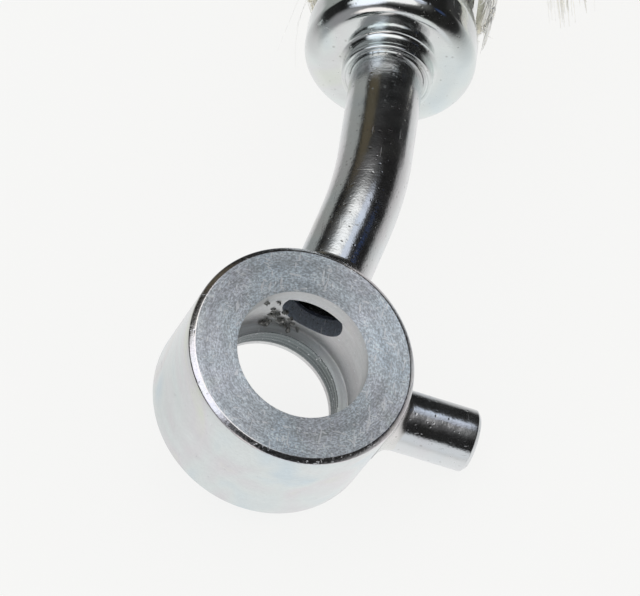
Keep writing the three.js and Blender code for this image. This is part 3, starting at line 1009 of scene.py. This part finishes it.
# Hose and sleeve

def route_between(inset):
    """The hose's route with both ends drawn in: its points, how far along they lie, and their slopes."""
    points = [Vector(p) for p in HOSE_ROUTE]
    points[0] += (points[1] - points[0]).normalized() * inset * MM
    points[-1] += (points[-2] - points[-1]).normalized() * inset * MM
    places = np.array(points)
    lengths = np.concatenate([[0], np.cumsum(np.linalg.norm(np.diff(places, axis=0), axis=1))])
    slopes = np.gradient(places, lengths, axis=0)
    return places, lengths, slopes


def route_points(inset, count):
    """Evenly spaced points, in metres, on a smooth curve through the route."""
    places, lengths, slopes = route_between(inset)
    line = []
    for s in np.linspace(0, lengths[-1], count):
        i = min(np.searchsorted(lengths, s, side="right") - 1, len(lengths) - 2)
        gap = lengths[i + 1] - lengths[i]
        t = (s - lengths[i]) / gap
        line.append(
            (2 * t**3 - 3 * t**2 + 1) * places[i] + (t**3 - 2 * t**2 + t) * gap * slopes[i]
            + (3 * t**2 - 2 * t**3) * places[i + 1] + (t**3 - t**2) * gap * slopes[i + 1]
        )
    return np.array(line)


def frames_along(line):
    """Side and up directions that turn as little as possible along a line."""
    ways = np.gradient(line, axis=0)
    ways /= np.linalg.norm(ways, axis=1)[:, None]
    side = np.cross(ways[0], (0, 0, 1.0))
    sides, ups = [], []
    for way in ways:
        side = side - way * (side @ way)
        side /= np.linalg.norm(side)
        sides.append(side)
        ups.append(np.cross(side, way))
    return np.array(sides), np.array(ups)


def ring_maker(line, columns):
    """A function for the ring of points round a place of a line, with its radius in millimetres."""
    sides, ups = frames_along(line)
    turns = np.linspace(0, 2 * math.pi, columns, endpoint=False)

    def ring(i, radius):
        ways = np.sin(turns)[:, None] * sides[i] + np.cos(turns)[:, None] * ups[i]
        return line[i] + np.reshape(radius, (-1, 1)) * MM * ways

    return ring


def braid_height(around, along):
    """The relief of the braid, as the braid group of the material has it."""
    first, second = around + along, around - along
    over = (np.floor(first) + np.floor(second)) % 2
    one, two = first % 1, second % 1
    across = np.where(over > 0.5, two, one)
    length = np.where(over > 0.5, one, two)
    return np.sin(across * math.pi) ** 0.5 * np.sin(length * math.pi) ** 0.6


def make_sleeve():
    """The braided sleeve along its route, with its relief on the outside only."""
    pitch = 2 * math.pi * SLEEVE_OUTER / SLEEVE_CELLS
    _, lengths, _ = route_between(SLEEVE_INSET)
    rows = CELL_STEPS * round(lengths[-1] / MM / pitch)
    line = route_points(SLEEVE_INSET, rows + 1)
    ring = ring_maker(line, SLEEVE_COLUMNS)
    turns = np.linspace(0, 2 * math.pi, SLEEVE_COLUMNS, endpoint=False)
    chance = random.Random(11)
    waves = [
        (chance.uniform(0.04, 0.09), chance.choice((1, 2, 3)), chance.uniform(15, 60),
         chance.uniform(0, 6.3))
        for _ in range(7)
    ]
    around = np.arange(SLEEVE_COLUMNS + 1) / CELL_STEPS
    rings = []
    for i in range(rows + 1):
        relief = braid_height(around[:-1] + 1e-4, np.full(SLEEVE_COLUMNS, i / CELL_STEPS + 2e-4))
        loose = sum(size * np.sin(k * turns + i / gap + phase) for size, k, gap, phase in waves)
        rings.append(ring(i, SLEEVE_OUTER + SLEEVE_WAVINESS * loose - 0.05 + SLEEVE_RELIEF * relief))
    outer = len(rings)
    inner_rows = np.linspace(rows, 0, SLEEVE_INNER_ROWS).round().astype(int)
    for i in inner_rows:
        rings.append(ring(i, np.full(SLEEVE_COLUMNS, SLEEVE_INNER)))
    along = np.concatenate([np.arange(outer) / CELL_STEPS, inner_rows / CELL_STEPS, [0]])
    piece = wrap_rings("woven_sleeve", rings, along, around, [WOVEN], sharp=180)
    return piece, line


def make_hose():
    line = route_points(0, HOSE_ROWS)
    ring = ring_maker(line, HOSE_COLUMNS)
    last = len(line) - 1
    rings = [ring(i, HOSE_RADIUS) for i in range(last + 1)]
    rings += [ring(i, HOSE_BORE) for i in range(last, -1, -1)]
    along = np.arange(len(rings) + 1) * 0.02
    return wrap_rings("rubber_hose", rings, along, np.linspace(0, 1, HOSE_COLUMNS + 1), [RUBBER])


# Frayed fibres

def bezier(points, count):
    """Points along a cubic curve from its four control points."""
    a, b, c, d = [np.array(p, float) for p in points]
    t = np.linspace(0, 1, count)[:, None]
    return (1 - t) ** 3 * a + 3 * t * (1 - t) ** 2 * b + 3 * t**2 * (1 - t) * c + t**3 * d


class Strands:
    """Many thin tapering strands in one mesh."""

    SIDES = 4

    def __init__(self):
        self.points, self.faces, self.uv = [], [], []

    def add(self, line, radius, tone):
        """A strand along a line in metres, kept above the ground; its tone is the second UV coordinate."""
        line = np.array(line, float)
        line[:, 2] = np.maximum(line[:, 2], radius + FLOOR_GAP)
        ways = np.gradient(line, axis=0)
        ways /= np.linalg.norm(ways, axis=1)[:, None]
        side = np.cross(ways[0], (0.31, 0.22, 0.93))
        start = len(self.points)
        last = len(line) - 1
        for i, way in enumerate(ways):
            side = side - way * (side @ way)
            side /= np.linalg.norm(side)
            up = np.cross(side, way)
            size = radius * (1 - 0.75 * (i / last) ** 3)
            for k in range(self.SIDES):
                angle = k / self.SIDES * 2 * math.pi
                self.points.append(line[i] + size * (math.cos(angle) * side + math.sin(angle) * up))
        for i in range(last):
            for k in range(self.SIDES):
                a, b = start + i * self.SIDES + k, start + i * self.SIDES + (k + 1) % self.SIDES
                self.faces.append((a, b, b + self.SIDES, a + self.SIDES))
                self.uv += [(i * 0.1, tone), (i * 0.1, tone), (i * 0.1 + 0.1, tone), (i * 0.1 + 0.1, tone)]
        for i, order in ((0, range(self.SIDES - 1, -1, -1)), (last, range(self.SIDES))):
            self.faces.append(tuple(start + i * self.SIDES + k for k in order))
            self.uv += [(i * 0.1, tone)] * self.SIDES

    def draw(self, frame_of_end, controls, count, radius, tone):
        """A curved strand from four control points in an end's frame, in millimetres like its radius."""
        self.add(put(bezier(controls, count), frame_of_end), radius * MM, tone)

    def piece(self, name):
        return finish_mesh(name, self.points, self.faces, self.uv, [LOOSE], sharp=180)


def around_end(angle, radius, y):
    """A point round the ferrule's own axis: the angle is in degrees from +X towards +Z."""
    a = math.radians(angle)
    return np.array([radius * math.cos(a), y, radius * math.sin(a)])


def fray_rim(strands, frame_of_end, seed, count, longest, shorter=(0, 0)):
    """Short loose ends all round the sleeve's cut edge, and still shorter ones in one range of angles."""
    chance = random.Random(seed)
    for _ in range(count):
        angle = chance.uniform(0, 360)
        length = chance.uniform(0.2, 0.8) * longest
        length += (chance.random() < 0.1) * chance.uniform(0, 0.6) * longest
        length *= 0.3 if shorter[0] < angle < shorter[1] else 1
        flare = chance.uniform(-0.1, 0.55) * length
        sway = chance.gauss(0, 9)
        start = chance.uniform(11.6, 12.5)
        end_radius = max(FERRULE_RADIUS + 0.25, start + flare)
        strands.draw(frame_of_end, [
            around_end(angle, start, RIM_Y + 0.8),
            around_end(angle, start + 0.1, RIM_Y - length * 0.3),
            around_end(angle + sway * 0.5, (start + end_radius) / 2, RIM_Y - length * 0.7),
            around_end(angle + sway, end_radius, RIM_Y - length),
        ], 7, chance.uniform(0.05, 0.12), chance.random())


def make_near_fray():
    """The loose fibres of the near end: round the cut edge, along one flank, tufts and lone hairs."""
    strands = Strands()
    fray_rim(strands, NEAR_END.front, 5, NEAR_RIM_STRANDS, 2.2, (130, 235))
    chance = random.Random(17)
    # Strands that lie along the ferrule's flank towards its front
    for _ in range(FLANK_STRANDS):
        angle = chance.uniform(-20, 16)
        reach = chance.uniform(3.5, 8.2)
        radius = chance.uniform(11.4, 12.0) + 0.12 * (8.2 - reach)
        strands.draw(NEAR_END.front, [
            around_end(angle + chance.gauss(0, 5), 12.3, RIM_Y + 1),
            around_end(angle, 12.7, RIM_Y - reach * 0.3),
            around_end(angle, radius + 0.3, RIM_Y - reach * 0.7),
            around_end(angle + chance.gauss(0, 3), radius, RIM_Y - reach),
        ], 10, chance.uniform(0.08, 0.14), chance.random())
    # Shorter and thicker strands between the sleeve's edge and that flank
    for _ in range(GAP_STRANDS):
        angle = chance.uniform(-8, 25)
        reach = chance.uniform(0.6, 4.6)
        radius = chance.uniform(11.7, 12.8)
        strands.draw(NEAR_END.front, [
            around_end(angle + chance.gauss(0, 6), chance.uniform(11.6, 12.4), RIM_Y + 2),
            around_end(angle, radius + 0.3, RIM_Y - reach * 0.2),
            around_end(angle, radius + 0.1, RIM_Y - reach * 0.6),
            around_end(angle + chance.gauss(0, 4), radius, RIM_Y - reach),
        ], 8, chance.uniform(0.1, 0.2), 0.6 * chance.random())
    # Tufts that stand off to the side and bend forward
    for tip_x, tip_y, spread, number, thickness, tone in TUFTS:
        for _ in range(number):
            x = tip_x + chance.gauss(0, spread)
            y = tip_y + abs(chance.gauss(0, 0.9))
            z = chance.uniform(-1.5, 2.0)
            strands.draw(NEAR_END.front, [
                around_end(chance.uniform(-12, 14), 12.3, RIM_Y + chance.uniform(6, 12)),
                (x * 0.86, y + 15, z + 2.5),
                (x * 0.96, y + 8, z + 1),
                (x, y, z),
            ], 12, thickness * chance.uniform(0.7, 1.2), tone * chance.uniform(0.8, 1))
    # Single hairs on the other flank
    for _ in range(LONE_HAIRS):
        angle = chance.uniform(168, 190)
        length = chance.uniform(7, 13)
        strands.draw(NEAR_END.front, [
            around_end(angle, 12.2, RIM_Y + 1),
            around_end(angle, 12.8, RIM_Y - length * 0.3),
            around_end(angle, 13.4, RIM_Y - length * 0.6),
            around_end(angle + chance.gauss(0, 6), chance.uniform(12.5, 15.5), RIM_Y - length),
        ], 10, 0.025, 0)
    return strands.piece("near_loose_fibres")


def make_far_fray():
    strands = Strands()
    fray_rim(strands, FAR_END.front, 29, FAR_RIM_STRANDS, 5.5)
    return strands.piece("far_loose_fibres")


# Torn steel

def make_burrs():
    """Torn steel beside the port, five dented lumps at each place."""
    chance = random.Random(23)
    clump = bmesh.new()
    for x, y, z, size in BURRS:
        for _ in range(5):
            place = Vector([c + chance.gauss(0, 0.5) * size for c in (x, y, z)])
            radius = size * chance.uniform(0.35, 0.85)
            lump = bmesh.ops.create_icosphere(clump, subdivisions=2, radius=radius)
            stretch = [chance.uniform(0.6, 1.4) for _ in range(3)]
            for vert in lump["verts"]:
                dented = [c * k * chance.uniform(0.75, 1.2) for c, k in zip(vert.co, stretch)]
                vert.co = place + Vector(dented)
    bmesh.ops.scale(clump, vec=(MM, MM, MM), verts=clump.verts)
    mesh = bpy.data.meshes.new("near_port_burrs")
    clump.to_mesh(mesh)
    clump.free()
    mesh.uv_layers.new(name="profile")
    mesh.materials.append(BURR_STEEL)
    return new_object("near_port_burrs", mesh)


# Room

def make_floor():
    mesh = bpy.data.meshes.new("floor")
    corners = [(x * FLOOR_REACH, y * FLOOR_REACH, 0) for x, y in ((-1, -1), (1, -1), (1, 1), (-1, 1))]
    mesh.from_pydata(corners, [], [(0, 1, 2, 3)])
    floor = new_object("floor", mesh)
    material, _, shader, _ = new_material("pale_paper")
    feed(
        shader, Base_Color=PAPER_TONE, Roughness=1.0, Specular_IOR_Level=0.0,
        Emission_Color=PALE, Emission_Strength=PAPER_GLOW,
    )
    mesh.materials.append(material)
    floor.visible_glossy = False


def soft_light_group():
    group, given, out = new_group(
        "soft_light",
        [("Direction", "NodeSocketVector", None), ("Towards", "NodeSocketVector", (0, 0, 1)),
         ("Inner", "NodeSocketFloat", 0.9), ("Outer", "NodeSocketFloat", 0.8)],
        [("Mask", "NodeSocketFloat")],
    )
    facing = add(group, "ShaderNodeVectorMath", {"operation": "DOT_PRODUCT"}, i0=given["Direction"],
                 i1=given["Towards"]).outputs["Value"]
    group.links.new(span(group, facing, given["Outer"], given["Inner"]), out["Mask"])
    return group


def sky_direction(azimuth, elevation):
    a, e = math.radians(azimuth), math.radians(elevation)
    return Vector((math.sin(a) * math.cos(e), math.cos(a) * math.cos(e), math.sin(e)))


def make_world():
    world = bpy.data.worlds.new("room")
    bpy.context.scene.world = world
    world.use_nodes = True
    tree = world.node_tree
    background = tree.nodes["Background"]
    direction = tree.nodes.new("ShaderNodeTexCoord").outputs["Generated"]
    height = add(tree, "ShaderNodeSeparateXYZ", Vector=direction).outputs["Z"]
    share = math_node(tree, "MULTIPLY_ADD", height, 0.5, 0.5)
    ramp = add(tree, "ShaderNodeValToRGB", Fac=share)
    stops = ramp.color_ramp.elements
    stops[0].color = (*[ROOM[0][1]] * 3, 1)
    stops[1].color = (*[ROOM[-1][1]] * 3, 1)
    for elevation, level in ROOM[1:-1]:
        stops.new(0.5 + 0.5 * math.sin(math.radians(elevation))).color = (level, level, level, 1)
    colour = ramp.outputs["Color"]
    group = soft_light_group()
    for azimuth, elevation, half, edge, tint in SOFT_LIGHTS:
        mask = place_group(
            tree, group, Direction=direction, Towards=sky_direction(azimuth, elevation),
            Inner=math.cos(math.radians(half)), Outer=math.cos(math.radians(half + edge)),
        ).outputs["Mask"]
        colour = blend_colours(tree, mask, colour, (*tint, 1))
    path = tree.nodes.new("ShaderNodeLightPath")
    unscattered = math_node(tree, "LESS_THAN", path.outputs["Diffuse Depth"], 0.5)
    mirrored = math_node(tree, "MULTIPLY", path.outputs["Is Glossy Ray"], unscattered)
    tree.links.new(blend_colours(tree, mirrored, PALE, colour), background.inputs["Color"])
    bpy.context.scene.view_settings.view_transform = "Standard"


# Making

def dress(piece, slot, *nodes):
    """Lets a piece ride on the root, in place of these nodes of the solids; the slot is not used."""
    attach(piece, "root")
    if nodes:
        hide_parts(*nodes)
    return piece


make_camera()
sleeve, sleeve_line = make_sleeve()
hose = make_hose()
near_fray = make_near_fray()
far_fray = make_far_fray()

dress(sleeve, "glass_fibre", "fibre_sleeve")
dress(hose, "hose_rubber", "hose")
dress(near_fray, "glass_fibre")
dress(make_burrs(), "machined_steel")
far_pieces = [dress(far_fray, "glass_fibre")]

# Their loop just outside the view would draw lines on the tube that the photo does not have
sleeve.visible_glossy = False
hose.visible_glossy = False

for end in (NEAR_END, FAR_END):
    made = [
        dress(make_eye(end), "machined_steel", end.name + "_banjo_eye"),
        dress(
            make_fillet(end, "tube_fillet", TUBE_RADIUS, end.tube_mount, 3),
            "braze", end.name + "_tube_braze",
        ),
        dress(make_tube(end), "zinc_plate", end.name + "_tube"),
        dress(make_ferrule(end), "zinc_plate", end.name + "_ferrule"),
    ]
    if end.sizes["pin"]:
        dress(make_pin(end), "zinc_plate", end.name + "_locating_pin")
        dress(
            make_fillet(end, "pin_fillet", PIN_RADIUS, end.pin_mount, 8),
            "braze", end.name + "_pin_braze",
        )
    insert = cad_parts[end.name + "_insert"]
    insert.data.materials.clear()
    insert.data.materials.append(HIDDEN_STEEL)
    if end is FAR_END:
        far_pieces += made + [insert]

tuple(sleeve_line[0])
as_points(sleeve_line)

make_floor()
make_world()
